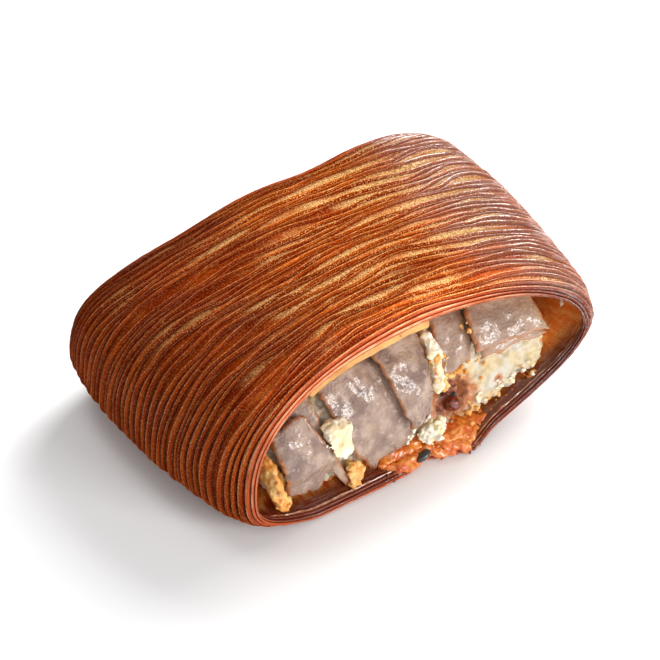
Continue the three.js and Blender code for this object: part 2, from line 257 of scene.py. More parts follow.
class Look:
    def __init__(self, name):
        self.material = bpy.data.materials.new(name)
        self.material.use_nodes = True
        self.tree = self.material.node_tree
        self.shader = self.tree.nodes["Principled BSDF"]

    def plug(self, socket, value):
        if isinstance(value, Value):
            self.tree.links.new(value.socket, socket)
        else:
            socket.default_value = value

    def node(self, kind, settings, sockets, out=0):
        made = self.tree.nodes.new("ShaderNode" + kind)
        for name, value in settings.items():
            setattr(made, name, value)
        for name, value in sockets.items():
            self.plug(made.inputs[name], value)
        return Value(self, made.outputs[out])

    def place(self):
        return self.node("TexCoord", {}, {}, "Object")

    def attribute(self, name):
        return self.node("Attribute", {"attribute_name": name}, {}, "Fac")

    def vector(self, name):
        return self.node("Attribute", {"attribute_name": name}, {}, "Vector")

    def axis(self, vector, name):
        return self.node("SeparateXYZ", {}, {"Vector": vector}, name)

    def joined(self, x, y, z):
        return self.node("CombineXYZ", {}, {"X": x, "Y": y, "Z": z})

    def scaled(self, vector, scale):
        return self.node("Mapping", {}, {"Vector": vector, "Scale": scale})

    # noise of a size in millimetres on Object coordinates, or in the units of another vector
    def noise(self, size, detail=2, vector=None):
        scale = 1 / size if vector else 1 / (size * mm)
        return self.node("TexNoise", {}, {"Scale": scale, "Detail": detail, "Vector": vector or self.place()})

    def between(self, value, low, high):
        settings = {"interpolation_type": "SMOOTHSTEP"}
        return self.node("MapRange", settings, {"Value": value, "From Min": low, "From Max": high})

    # 1 round a place of the mouth's millimetres, 0 further off than the radius, with an uneven edge
    def near(self, place, radius):
        ends = {0: self.place(), 1: inFrame(Vector(place))}
        distance = self.node("VectorMath", {"operation": "DISTANCE"}, ends, "Value") / (radius * mm)
        return self.between(distance + self.noise(radius * 0.6, 2), 1.6, 1.1)

    def mix(self, factor, first, second, blend="MIX"):
        settings = {"data_type": "RGBA", "blend_type": blend}
        return self.node("Mix", settings, {0: factor, 6: first, 7: second}, 2)

    def times(self, colour, tint):
        return self.mix(1, colour, tint, "MULTIPLY")

    def bump(self, height, depth, strength=1.0):
        return self.node("Bump", {}, {"Height": height, "Distance": depth * mm, "Strength": strength})

    def finish(self, **sockets):
        for name, value in sockets.items():
            self.plug(self.shader.inputs[name.replace("_", " ")], value)
        return self


# colour from the eight-bit numbers of a colour picker
def tone(red, green, blue):
    shares = [n / 255 for n in (red, green, blue)]
    return tuple(n / 12.92 if n <= 0.04045 else ((n + 0.055) / 1.055) ** 2.4 for n in shares) + (1,)


def addPiece(name, bm, look, nodes=()):
    mesh = bpy.data.meshes.new(name)
    bm.to_mesh(mesh)
    bm.free()
    piece = bpy.data.objects.new(name, mesh)
    bpy.context.scene.collection.objects.link(piece)
    mesh.materials.append(look.material)
    mesh.shade_smooth()
    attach(piece, "root")
    if nodes:
        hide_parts(*nodes)
    print(name, len(mesh.polygons), "faces")
    return piece


# crust: rings of dough layers round the tube, thin ones over each lip
crust = {
    "columns": 272,  # mesh columns round the tube
    "layers": 38,  # rings between the lips
    "lipLayers": 5,  # thin rings over each lip
    "lipIn": 3.6,  # their reach inside and outside the rim, mm over the skin
    "lipOut": 1.6,
    "lipFade": (0.8, 4),  # the dark lip fades out between these, mm outside the rim
    "ridgeRows": (0, 0.13, 0.34, 0.6, 0.84),  # mesh rows over a ridge and over the gap behind it
    "gapRows": (0, 0.5),
    "ridgePart": 0.75,  # part of a layer's number that belongs to the ridge
    "innerRows": 20,
    "innerEnd": 0.08,  # measured part of the inside, share of the length
    "lens": (1.6, 3.5),  # waves of a layer round the tube
    "lensShare": 0.4,  # depth of the second wave
    "stretch": (0.25, 1.7),  # unevenness of the layers on the sides and on top, share of a layer
    "uneven": 0.5,  # difference between whole layers
    "drift": 1.1,  # slow bending of neighbouring layers together
    "thinnest": 0.5,  # mm
    "ridgeWidth": (1.8, 1.2),  # at most, on the sides and on top, mm
    "ridgeShare": 0.82,  # of a layer at most
    "ridge": (0.8, 0.66),  # height on the sides and on top, mm
    "ridgeSink": 0.4,
    "steep": 1.5,  # exponent that moves the crest of a ridge towards its back edge
    "sway": 0.4,  # slow unevenness of the whole skin, mm
    "swaySize": 14,
    "grain": 0.07,
    "grainSize": 0.9,
    "crumb": 0.6,  # unevenness of the inside, mm
    "crumbSize": 2.0,
    "stain": (3.5, 8),  # the dark inner floor fades between these depths, mm
    "stretched": (0.4, 0.9),  # widths between which a gap shows pale dough, mm
    "paleFrom": (2, 6),  # pale dough starts between these, mm outside the rim
    "lipWave": 0.12,  # share of the waves that reaches the lips
    "lipCalm": 4,  # layers from the lip to the full waves
    "noiseStep": (5.3, 0.16),  # steps through the noise from layer to layer: own waves, shared bending
    "driftAt": 9,
    "unevenAt": (0.5, 7.5, 0.5),
    "crown": 2.2,  # exponent of a ridge's section
    "topFrom": (0.3, 0.8),  # sines of the turn between which the side becomes the top
    "lowFrom": (0, 0.5),  # and between which it becomes the floor
    "insideFade": 1.4,
    "innerLip": (0.2, 1.2),
    "crumbLong": 0.4,  # squeeze of the inside's fibres along the tube
}
zones = {  # where the crust's colour changes, with painted light and shade on some sides: from none to full, mm from the middle of the part
    "rightSide": (0, 48),
    "shoulder": (16, 46),
    "leftSide": (0, -36),
    "back": (20, 36),
    "leftOfBack": (30, 0),
    "front": (-20, -31),
}


def evenTurns(count):
    steps = 3000
    turns = [2 * math.pi * n / steps for n in range(steps + 1)]
    points = [wallPoint(u, 0.5, 0) for u in turns]
    lengths = [0.0]
    for a, b in zip(points, points[1:]):
        lengths.append(lengths[-1] + (b - a).length)
    found = []
    n = 0
    for i in range(count):
        while lengths[n + 1] < lengths[-1] * i / count:
            n += 1
        found.append(turns[n])
    return found, lengths[-1]


def topness(u):
    return ease(math.sin(u), *crust["topFrom"])


# the skin of a column from inside the front rim to inside the back rim, with lengths from the front rim
def skinPath(u):
    steps = 160
    turned = [math.pi * n / steps for n in range(steps + 1)]
    inner = [crust["innerEnd"] * (1 - math.cos(a / 2)) for a in turned[1:]]
    path = [(v, wallDepth(v)) for v in reversed(inner)]
    path += [(0.5 - 0.5 * math.cos(a), 0) for a in turned]
    path += [(1 - v, wallDepth(v)) for v in inner]
    points = [wallPoint(u, v, inset) for v, inset in path]
    lengths = [0.0]
    for a, b in zip(points, points[1:]):
        lengths.append(lengths[-1] + (b - a).length)
    front, back = lengths[steps], lengths[2 * steps]
    return {"path": path, "lengths": [n - front for n in lengths], "outer": back - front}


def placeAt(length, skin):
    lengths = skin["lengths"]
    n = clamp(bisect.bisect(lengths, length), 1, len(lengths) - 1)
    part = clamp((length - lengths[n - 1]) / (lengths[n] - lengths[n - 1]))
    return [lerp(a, b, part) for a, b in zip(skin["path"][n - 1], skin["path"][n])]


# edges of the layers in one column, in millimetres over the skin from the front rim
def layerEdges(share, u, outer):
    angle = 2 * math.pi * share
    long, short = [Vector((math.cos(angle), math.sin(angle), 0)) * size for size in crust["lens"]]
    stretch = between(crust["stretch"], topness(u))
    thin, last = crust["lipLayers"], crust["layers"]
    pitch = (outer - 2 * crust["lipOut"]) / last
    thinPitch = (crust["lipIn"] + crust["lipOut"]) / thin
    edges = []
    for k in range(-thin, last + thin + 1):
        fromLip = min(k, last - k)
        place = crust["lipOut"] + (pitch * k if fromLip >= 0 else thinPitch * fromLip)
        if fromLip < 0 < k:
            place = outer - place
        own = Vector((0, 0, crust["noiseStep"][0] * k))
        shared = Vector((crust["driftAt"], 0, crust["noiseStep"][1] * k))
        wave = stretch * (noise.noise(long + own) + crust["lensShare"] * noise.noise(short + own))
        wave += crust["drift"] * noise.noise(long + shared)
        wave += crust["uneven"] * noise.noise(own + Vector(crust["unevenAt"]))
        place += wave * pitch * lerp(crust["lipWave"], 1, clamp(fromLip / crust["lipCalm"]))
        edges.append(max(place, edges[-1] + crust["thinnest"]) if edges else place)
    return edges


# rows of one column: length over the skin, number of the layer, rise, width of the gap
def crustRows(edges, top):
    part = crust["ridgePart"]
    rows = []
    for k in range(len(edges) - 1):
        width = edges[k + 1] - edges[k]
        widest = between(crust["ridgeWidth"], top)
        ridge = min(width * crust["ridgeShare"], widest)
        gap = width - ridge
        height = between(crust["ridge"], top) * ridge / widest
        for p in crust["ridgeRows"]:
            crown = math.sqrt(1 - abs(2 * p ** crust["steep"] - 1) ** crust["crown"])
            rise = height * crown - crust["ridgeSink"]
            rows.append((edges[k] + ridge * p, k + part * p, rise, gap))
        for q in crust["gapRows"]:
            rows.append((edges[k] + ridge + gap * q, k + lerp(part, 1, q), -crust["ridgeSink"], gap))
    return rows + [(edges[-1], len(edges) - 1, -crust["ridgeSink"], 0)]


crustMarks = ("rise", "stretched", "lip", "inner", "inside", "top", "stain")


def buildCrust():
    columns = crust["columns"]
    innerRows = crust["innerRows"]
    turns, girth = evenTurns(columns)
    skins = [skinPath(u) for u in turns]
    edges = [layerEdges(i / columns, turns[i], skins[i]["outer"]) for i in range(columns)]
    rows = [crustRows(edges[i], topness(turns[i])) for i in range(columns)]
    ends = [[placeAt(edge, skins[i])[0] for edge in (edges[i][-1], edges[i][0])] for i in range(columns)]
    outerRows = len(rows[0])
    count = outerRows + innerRows
    radius = girth / (2 * math.pi)
    bm = bmesh.new()
    bmesh.ops.create_grid(bm, x_segments=columns, y_segments=count, size=0.5)
    marks = {name: bm.verts.layers.float.new(name) for name in crustMarks}
    ring = bm.verts.layers.float_vector.new("ring")  # millimetres round the tube, then the layer
    for vert in bm.verts:
        i = round((vert.co.x + 0.5) * columns) % columns
        j = round((vert.co.y + 0.5) * count) % count
        top = topness(turns[i])
        low = ease(-math.sin(turns[i]), *crust["lowFrom"])
        angle = 2 * math.pi * i / columns
        if j < outerRows:
            reached, number, rise, gap = rows[i][j]
            v, inset = placeAt(reached, skins[i])
            fromRim = min(reached, skins[i]["outer"] - reached)
            vert[marks["inside"]] = ease(-fromRim, crust["lipIn"] - crust["insideFade"], crust["lipIn"])
            vert[marks["lip"]] = 1 - ease(fromRim, *crust["lipFade"])
            vert[marks["inner"]] = ease(-fromRim, *crust["innerLip"])
            vert[marks["stain"]] = low * vert[marks["inside"]]
            vert[marks["rise"]] = rise
            vert[marks["stretched"]] = ease(gap, *crust["stretched"]) * ease(fromRim, *crust["paleFrom"])
        else:
            turned = math.pi * (j - outerRows + 1) / (innerRows + 1)
            v = between(ends[i], 0.5 - 0.5 * math.cos(turned))
            inset = wallDepth(v)
            number = crust["layers"] * v
            vert[marks["inside"]] = vert[marks["inner"]] = 1
            vert[marks["stain"]] = low * (1 - ease(min(v, 1 - v) * tube["length"], *crust["stain"]))
        vert[ring] = (radius * math.cos(angle), radius * math.sin(angle), number)
        vert[marks["top"]] = top
        vert.co = wallPoint(turns[i], v, inset)
    bmesh.ops.remove_doubles(bm, verts=bm.verts, dist=0.0005)
    bmesh.ops.recalc_face_normals(bm, faces=bm.faces)
    bm.normal_update()
    for vert in bm.verts:
        place = vert.co.copy()
        lift = vert[marks["rise"]] + crust["grain"] * noise.noise(place / crust["grainSize"])
        lift += crust["sway"] * noise.noise(place / crust["swaySize"]) * (1 - vert[marks["lip"]])
        fibres = Vector((place.x, crust["crumbLong"] * place.y, place.z)) / crust["crumbSize"]
        lift += crust["crumb"] * noise.fractal(fibres, 0.7, 2, 3) * vert[marks["inside"]]
        place += vert.normal * lift
        place.z = max(place.z, 0)
        vert.co = inFrame(place)
    return bm


def crustLook():
    look = Look("baked_crust")
    ring = look.vector("ring")
    stretched, lip, inner, inside, top, stain = [look.attribute(name) for name in crustMarks[1:]]
    number = look.axis(ring, "Z")
    part = crust["ridgePart"]
    over = number.fraction()  # 0 at the front edge of a layer, 1 at its back edge
    inGap = look.between(over, part - 0.05, part)
    # groove: the front foot of each ridge, darkened below with painted shade
    groove = look.between(over, 0.3, 0.0)
    # crest: the back edge of each ridge, which gets a painted highlight
    crest = look.between(over, part * 0.5, part * 0.74) * look.between(over, part, part * 0.9)

    def ownNoise(length, step):  # differs from layer to layer
        across = look.axis(ring, "X") / length, look.axis(ring, "Y") / length
        return look.noise(1, 2, look.joined(*across, number.whole() * step))

    own = ownNoise(18, 3.7)
    glow = ownNoise(7, 5.9)
    # seam: a fine crease on top, sunk in the relief and darkened with painted shade
    seam = look.between((over - 0.42 * part).size(), 0.07, 0.02) * top
    seam = seam * look.between(ownNoise(10, 2.3), 0.4, 0.5)
    strand = look.noise(1, 2, look.scaled(ring, (1 / 12, 1 / 12, 3)))
    thread = look.noise(1, 2, look.scaled(ring, (1 / 9, 1 / 9, 4.5)))
    zone = look.noise(1, 2, look.scaled(ring, (1 / 24, 1 / 24, 0.24)))  # where stretched dough stays pale
    blotch = look.noise(16, 2)
    grain = look.noise(0.45, 2)
    speck = look.noise(0.34, 1)
    x = look.axis(look.place(), "X")
    y = look.axis(look.place(), "Y")

    def within(axis, name):
        return look.between(axis, *[end * mm for end in zones[name]])

    rightSide = within(x, "rightSide")
    shoulder = within(x, "shoulder")
    leftSide = within(x, "leftSide")
    backLeft = within(y, "back") * within(x, "leftOfBack")
    pale = stretched * look.between(zone + 0.05 * rightSide - 0.09 * leftSide, 0.4, 0.54) * top
    # painted shade for the grooves, seams and narrow gaps, darker on the sides than on top
    paintedShade = look.mix(top, tone(68, 20, 6), tone(104, 22, 0))
    rust = look.mix(look.between(own, 0.3, 0.7), tone(142, 42, 2), tone(194, 82, 12))
    rust = look.mix(look.between(strand, 0.48, 0.7) * 0.45, rust, tone(212, 120, 40))
    rust = look.mix(look.between(thread, 0.46, 0.36) * 0.6 * top, rust, tone(112, 28, 0))
    rust = look.mix(look.between(thread, 0.56, 0.66) * 0.4 * top, rust, tone(230, 142, 62))
    rust = look.mix(look.between(blotch, 0.48, 0.7) * 0.35, rust, tone(132, 56, 8))
    # painted highlight for the crests, pinker on the left side, with a mauve-white painted sheen on the
    # shoulder and whitish glints on the specks
    crestHighlight = look.mix(leftSide, tone(234, 152, 72), tone(214, 136, 94))
    crestHighlight = look.mix(shoulder, crestHighlight, tone(226, 180, 158))
    crestHighlight = look.mix(look.between(speck, 0.54, 0.66) * 0.7, crestHighlight, tone(255, 216, 150))
    rust = look.mix(crest * (0.3 + 0.55 * look.between(glow, 0.38, 0.62)), rust, crestHighlight)
    tan = look.mix(look.between(grain, 0.36, 0.62), tone(152, 94, 40), tone(224, 180, 120))
    tan = look.mix(look.between(thread, 0.52, 0.36) * 0.6, tan, tone(178, 86, 26))
    rust = look.mix(seam * 0.7, rust, paintedShade)
    # narrow gaps between layers get painted shade, stretched gaps rust with some painted shade, pale dough
    # where marked
    gap = look.mix(stretched, paintedShade, look.mix(0.35, rust, paintedShade))
    gap = look.mix(pale, gap, tan)
    colour = look.mix(inGap, rust, gap)
    # painted shade at the front foot of each ridge
    colour = look.mix(groove * (1 - inGap) * 0.85, colour, paintedShade)
    colour = look.mix(look.between(speck, 0.48, 0.36) * 0.4, colour, tone(96, 26, 2))
    # painted glints: bright specks, most on the crests and on pale dough
    paintedGlints = look.between(speck, 0.56, 0.66) * (0.18 + 0.5 * crest + 0.4 * pale)
    colour = look.mix(paintedGlints, colour, tone(255, 206, 130))
    # painted shade: the left side is darkened, partly also a browner bake
    colour = look.mix(leftSide * 0.7, colour, look.times(colour, tone(196, 170, 158)))
    # painted sheen: on the right shoulder a mauve-brown base and a cooler tint stand in for the white light
    # that the glaze reflects
    colour = look.mix(shoulder * (0.45 - 0.3 * inGap), colour, tone(140, 96, 84))
    colour = look.mix(shoulder * 0.8, colour, look.times(colour, tone(232, 248, 255)))
    # painted shade with a grey sheen: the back-left edge is darkened and greyed
    colour = look.mix(backLeft * 0.75, colour, look.times(colour, tone(158, 140, 140)))
    # lip colours: painted shade in the gaps and at the foot of each ridge, painted highlight on the crests
    rim = look.mix(inGap, tone(198, 86, 44), tone(70, 18, 8))
    rim = look.mix(groove * 0.7, rim, tone(88, 26, 12))
    rim = look.mix(crest * (0.3 + 0.6 * look.between(glow, 0.4, 0.6)), rim, tone(248, 180, 136))
    rim = look.mix(rightSide, rim, look.times(rim, tone(158, 134, 134)))
    rim = look.mix(inner, rim, tone(92, 30, 22))
    colour = look.mix(lip * 0.8, colour, rim)
    # painted light: the top just above the front rim is brightened, less towards the right
    frontBand = within(y, "front") * top * (1 - 0.6 * rightSide)
    paintedFrontLight = (1.5, 1.42, 1.4, 1)
    colour = look.mix(frontBand, colour, look.times(colour, paintedFrontLight))
    fibres = look.noise(1, 3, look.scaled(look.place(), (900, 260, 900)))
    crumb = look.mix(look.between(fibres, 0.36, 0.64), tone(206, 80, 14), tone(250, 178, 88))
    amber = look.mix(look.between(fibres, 0.36, 0.64), tone(240, 126, 46), tone(250, 160, 82))
    crumb = look.mix(rightSide, crumb, amber)
    crumb = look.mix(stain * 0.95, crumb, tone(96, 30, 20))
    colour = look.mix(inside, colour, crumb)
    relief = (grain * 0.6 + speck * 0.5) * (1 + 1.2 * shoulder) + strand * 0.3 + thread * 0.9 - seam * 0.9
    sparkle = look.between(grain * 0.4 + speck * 0.3 + strand * 0.3, 0.46, 0.56)
    glaze = 0.03 + shoulder * sparkle + 0.4 * lip * sparkle
    return look.finish(
        Base_Color=colour,
        Roughness=0.5 + 0.15 * pale - 0.1 * shoulder,
        Specular_IOR_Level=0,
        Coat_Weight=glaze * (1 - 0.8 * inGap) * (1 - inside) + stain,
        Coat_Roughness=0.1,
        Coat_IOR=1.9,
        Normal=look.bump(relief, 0.36, 0.9),
    )


addPiece("crust", buildCrust(), crustLook(), ["pastry_wrap"])


# slices of cured meat
meat = {
    "thickness": 1.5,
    "level": 2.75,
    "cell": 0.45,  # mesh size, mm
    "waves": ((6.5, 0.55), (2.3, 0.25)),  # soft undulation shared by all slices: size and depth
    "ragged": 0.55,
    "raggedSize": 2.4,
    "raggedEnds": 1.6,  # the ends are this much more ragged than the sides
    "raggedShift": (40, 160),  # keeps the noise of the two sides apart
    "cellLong": 1.5,  # cells are this much longer than wide
    "skewReach": 0.11,
    "blunt": 0.002,
    "above": 0.4,  # clearance over the heap, mm
    "browned": 0.7,  # width of the browned edge, mm
    "edgeThin": 0.35,  # share of the thickness at the edge
    "edgeReach": 0.8,
}
slices = {
    "meat_slice_1": {"left": (-37, -37, -36.5), "right": (-19.5, -24.3, -28), "turns": (0.09, 0.76),
                     "slant": -0.11, "notch": (0.68, 0.13, 0.15),  # place, width, depth in its lower edge
                     "level": lambda x, turn: ease(turn, 0.16, 0.32)},
    "meat_slice_2": {"left": (-36, -37, -38), "right": (-24, -23.8, -25.5), "turns": (0.36, 2.95)},
    "meat_slice_3": {"left": (-22.6, -22.6, -23.5), "right": (-1.5, -1, -3), "turns": (0.01, 3.04),
                     "slant": 0.1, "skew": 9},
    "meat_slice_4": {"left": (-3, -9, -9), "right": (4.5, 7.4, 8.4), "turns": (0.25, 2.9),
                     "tips": (0.07, 0.1), "level": lambda x, turn: 1 - ease(x, 0, 8.5)},
    "meat_slice_5": {"left": (8.9, 10.4, 11), "right": (17, 19.8, 20.5), "turns": (0.45, 2.84),
                     "slant": 0.06},
    "meat_slice_6": {"left": (17, 18.6, 19), "right": (37.6, 32, 31.5), "turns": (0.55, 2.8),
                     "slant": -0.07, "level": lambda x, turn: 1},
    "meat_slice_7": {"left": (20, 22.2, 23), "right": (38.6, 32, 31), "turns": (0.46, 2.88),
                     "slant": -0.08},
}


def buildSlice(cut):
    phase = cut["left"][0]
    tips = cut.get("tips", (0, 0))
    across = along(cut["right"], 0.5) - along(cut["left"], 0.5)
    longways = (cut["turns"][1] - cut["turns"][0]) * heap["reach"]
    steps = (round(across / meat["cell"]), round(longways / meat["cell"] / meat["cellLong"]))
    bm = bmesh.new()
    bmesh.ops.create_grid(bm, x_segments=steps[0], y_segments=steps[1], size=0.5)
    marks = {name: bm.verts.layers.float.new(name) for name in ("edge", "place", "turn", "middle", "half")}
    for vert in bm.verts:
        s, t = vert.co.x + 0.5, vert.co.y + 0.5
        rims = [across * s] + [longways * t + shift for shift in meat["raggedShift"]]
        spots = [Vector((n, phase, 0)) / meat["raggedSize"] for n in rims]
        rag = [meat["ragged"] * noise.fractal(spot, 0.6, 2, 4) for spot in spots]
        at, width, depth = cut.get("notch", (0, 1, 0))
        start = cut["turns"][0] + cut.get("slant", 0) * s + depth * bell((s - at) / width)
        turn = lerp(start, cut["turns"][1], t)
        turn += meat["raggedEnds"] * rag[0] * (1 - 2 * t) / heap["reach"]
        narrow = quarterRound((t + meat["blunt"]) / tips[0]) if tips[0] else 1
        narrow *= quarterRound((1 - t + meat["blunt"]) / tips[1]) if tips[1] else 1
        left = along(cut["left"], t) + rag[1]
        left += cut.get("skew", 0) * math.exp(-t / meat["skewReach"])
        right = along(cut["right"], t) + rag[2]
        x = lerp(left, lerp(left, right, narrow), s)
        level = cut["level"](x, turn) if "level" in cut else 0
        spread = Vector((x, turn * heap["reach"], 3))
        wave = sum(depth * noise.noise(spread / size) for size, depth in meat["waves"])
        fromEdge = min(s * across, (1 - s) * across, t * longways, (1 - t) * longways)
        vert[marks["edge"]] = bell(fromEdge / meat["browned"])
        vert[marks["place"]] = x
        vert[marks["turn"]] = turn
        vert[marks["middle"]] = level * meat["level"] + meat["thickness"] / 2 + meat["above"] + wave
        full = quarterRound(fromEdge / meat["edgeReach"])
        vert[marks["half"]] = meat["thickness"] / 2 * lerp(meat["edgeThin"], 1, full)
    made = bmesh.ops.extrude_face_region(bm, geom=bm.faces[:], use_keep_orig=True)
    upper = {item for item in made["geom"] if isinstance(item, bmesh.types.BMVert)}
    for vert in bm.verts:
        half = vert[marks["half"]] if vert in upper else -vert[marks["half"]]
        vert.co = inFrame(drapePoint(vert[marks["place"]], vert[marks["turn"]], vert[marks["middle"]] + half))
    bmesh.ops.recalc_face_normals(bm, faces=bm.faces)
    return bm


def meatLook():
    look = Look("cured_meat")
    edge = look.attribute("edge")
    mottle = look.noise(3.2, 4)
    dusk = look.noise(8, 2)
    film = look.noise(5.5, 2)
    fat = look.between(look.noise(1.8, 3), 0.58, 0.72)
    colour = look.mix(look.between(mottle, 0.3, 0.7), tone(140, 111, 96), tone(183, 156, 138))
    colour = look.mix(look.between(dusk, 0.48, 0.68) * 0.75, colour, tone(112, 86, 78))
    colour = look.mix(look.between(film, 0.55, 0.75) * 0.5, colour, tone(176, 152, 112))
    colour = look.mix(fat * 0.35, colour, tone(224, 200, 172))
    rightSide = look.between(look.axis(look.place(), "X"), 0.0, 0.03)
    colour = look.mix(rightSide * 0.4, colour, tone(168, 136, 106))
    browned = edge * look.between(look.noise(2.2, 2), 0.3, 0.55)
    colour = look.mix(browned * 0.85, colour, tone(190, 112, 48))
    relief = 0.35 * look.noise(1.7, 2) + 0.65 * look.noise(0.7, 2)
    sparkle = look.between(look.noise(0.55, 2), 0.46, 0.58)
    return look.finish(
        Base_Color=colour,
        Roughness=0.4 + 0.2 * mottle,
        Coat_Weight=0.2 + 0.8 * sparkle,
        Coat_Roughness=0.12,
        Subsurface_Weight=0.08,
        Subsurface_Radius=(0.0015, 0.0008, 0.0005),
        Normal=look.bump(relief, 0.5, 1.0),
    )


meatFinish = meatLook()
for name, cut in slices.items():
    addPiece(name.replace("meat_", "cured_"), buildSlice(cut), meatFinish, [name])


# soft pieces: a fine, lumpy mesh over the space of a CAD node
softening = {"rounds": 4, "factor": 0.5}


def plainCopy(node):
    bm = bmesh.new()
    bm.from_mesh(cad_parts[node].data)
    bmesh.ops.remove_doubles(bm, verts=bm.verts, dist=1e-6)
    return bm


def remeshed(bm, voxel):
    mesh = bpy.data.meshes.new("plain")
    bm.to_mesh(mesh)
    bm.free()
    plain = bpy.data.objects.new("plain", mesh)
    bpy.context.scene.collection.objects.link(plain)
    remesh = plain.modifiers.new("fine", "REMESH")
    remesh.mode = "VOXEL"
    remesh.voxel_size = voxel * mm
    seen = plain.evaluated_get(bpy.context.evaluated_depsgraph_get())
    fine = bmesh.new()
    fine.from_mesh(seen.to_mesh())
    seen.to_mesh_clear()
    bpy.data.objects.remove(plain)
    return fine


def lumpy(bm, lumps, hollows=(), swell=0):
    for _ in range(softening["rounds"]):
        bmesh.ops.smooth_vert(bm, verts=bm.verts, factor=softening["factor"],
                              use_axis_x=True, use_axis_y=True, use_axis_z=True)
    bm.normal_update()
    for vert in bm.verts:
        place = vert.co / mm
        rise = swell
        for size, depth in lumps:
            rise += depth * noise.fractal(place / size, 0.8, 2, 2)
        for at, radius, depth in hollows:
            rise -= depth * bell((place - mouth - Vector(at)).length / radius)
        vert.co += vert.normal * rise * mm
    bm.normal_update()
    return bm


darkHollows = {  # hollows on the white heap, darker in colour with a toasted ring round them: place in the mouth's millimetres, radius, depth
    "hollow": ((12.5, 4.5, 12), 5.5, 2.6),
    "hole": ((19, 3, 12.7), 1.4, 1.6),
    "dent": ((26, 2.6, 13), 1.2, 0.8),
}


def cheeseLook(name, pale, warm, toast, share):
    look = Look(name)
    curd = 0.6 * look.noise(1.6, 4) + 0.4 * look.noise(0.7, 2)
    warmth = look.noise(4, 3)
    baked = look.between(look.noise(2.6, 4), 1 - share, 1.1 - share)
    colour = look.mix(look.between(warmth, 0.35, 0.65), pale, warm)
    colour = look.mix(baked * 0.85, colour, toast)
    if name == "shaded_bank_cheese":
        # the hollows are darkened towards near black, with a toasted ring round each
        hollowDark = look.mix(look.between(look.noise(1.1, 3), 0.4, 0.6), tone(44, 16, 12), tone(150, 64, 26))
        for at, radius, _ in darkHollows.values():
            colour = look.mix(look.near(at, radius * 1.4) * 0.85, colour, tone(200, 112, 44))
            colour = look.mix(look.near(at, radius), colour, hollowDark)
    return look.finish(
        Base_Color=colour,
        Roughness=0.5,
        Coat_Weight=0.35,
        Coat_Roughness=0.2,
        Subsurface_Weight=0.15,
        Subsurface_Radius=(0.0018, 0.0014, 0.0008),
        Normal=look.bump(curd, 0.35, 0.8),
    )


# painted shade: the heap's cheese is a darker copy of the white cheese, offsetting the stronger light the
# heap gets
shadedBankCheese = cheeseLook("shaded_bank_cheese", tone(208, 201, 184), tone(210, 188, 144), tone(204, 126, 52), 0.43)
whiteCheese = cheeseLook("white_cheese", tone(250, 241, 222), tone(247, 228, 180), tone(226, 146, 58), 0.38)
toastedCheese = cheeseLook("toasted_cheese", tone(250, 208, 132), tone(240, 160, 66), tone(204, 104, 32),
                           0.42)
curds = ((3.2, 0.9), (1.2, 0.4))
coarseCurds = ((2.4, 1.5), (1.1, 0.6))
fineCurds = ((2, 1.1), (0.9, 0.5))
bankCurds = ((4.5, 1.1), (1.7, 0.9))
soft = {  # CAD node: piece, mesh size in mm, lumps, swelling in mm, look, slot
    "cheese_heap": ("white_heap", 0.55, bankCurds, 0, shadedBankCheese, "white_cheese"),
    "cheese_lump_left": ("white_lump_left", 0.3, curds, 0, whiteCheese, "white_cheese"),
    "cheese_lump_middle": ("toasted_lump", 0.3, coarseCurds, 0, toastedCheese, "toasted_cheese"),
    "cheese_lump_top": ("white_lump_top", 0.3, curds, 0, whiteCheese, "white_cheese"),
    "cheese_lump_low": ("white_lump_low", 0.3, fineCurds, -0.8, whiteCheese, "white_cheese"),
    "cheese_strip_left": ("toasted_strip", 0.35, curds, 0, toastedCheese, "toasted_cheese"),
}
for node, (name, voxel, lumps, swell, look, slot) in soft.items():
    hollows = darkHollows.values() if node == "cheese_heap" else ()
    bm = lumpy(remeshed(plainCopy(node), voxel), lumps, hollows, swell)
    addPiece(name, bm, look, [node])


def sauceLook():
    look = Look("tomato_sauce")
    flow = look.noise(3.5, 3)
    pulp = look.noise(1.1, 3)
    colour = look.mix(look.between(flow, 0.3, 0.7), tone(216, 92, 10), tone(238, 146, 52))
    colour = look.mix(look.between(pulp, 0.5, 0.36) * 0.55, colour, tone(178, 62, 12))
    colour = look.mix(look.between(pulp, 0.58, 0.7) * 0.7, colour, tone(244, 186, 106))
    return look.finish(
        Base_Color=colour,
        Roughness=0.36,
        Coat_Weight=0.8,
        Coat_Roughness=0.12,
        Subsurface_Weight=0.1,
        Subsurface_Radius=(0.0025, 0.0008, 0.0003),
        Normal=look.bump(flow + 0.8 * pulp, 0.6, 0.8),
    )


sauceFinish = sauceLook()
sauce = {
    "cell": 0.4,
    "lumps": ((3.2, 0.5), (1.4, 0.35)),
    "swell": 0.45,
    "thinFrom": 13,  # from here to the right its thin end sinks into the floor, mm from the mouth's middle
    "thinRun": 6,
    "sink": 1.3,
    "lowest": 0.5,
}
sauceBed = lumpy(remeshed(plainCopy("sauce_bed"), sauce["cell"]), sauce["lumps"], (), sauce["swell"])
for vert in sauceBed.verts:
    past = (vert.co.x / mm - mouth.x - sauce["thinFrom"]) / sauce["thinRun"]
    vert.co.z = max(vert.co.z - clamp(past) * sauce["sink"] * mm, sauce["lowest"] * mm)
addPiece("sauce", sauceBed, sauceFinish, ["sauce_bed"])

# sauce spilt over the lower lip
film = {
    "ends": (-10, 17),  # along the lip, mm
    "reach": (-7.5, 2.6),  # over the skin, from inside the rim to outside, mm
    "cell": 0.35,
    "thickness": 0.75,
    "sunk": 0.9,
    "under": 0.5,  # its lower face lies this much deeper
    "edgeFade": (1.1, 0.3),  # before and after the edge
    "edge": 0.3,  # mean place of its outer edge
    "taper": (8, 7),  # how far from its ends the edge draws back, and how far in
    "ragged": 2.2,
    "raggedSize": 2.2,
    "lumps": 0.8,
    "lumpSize": 1.3,
}


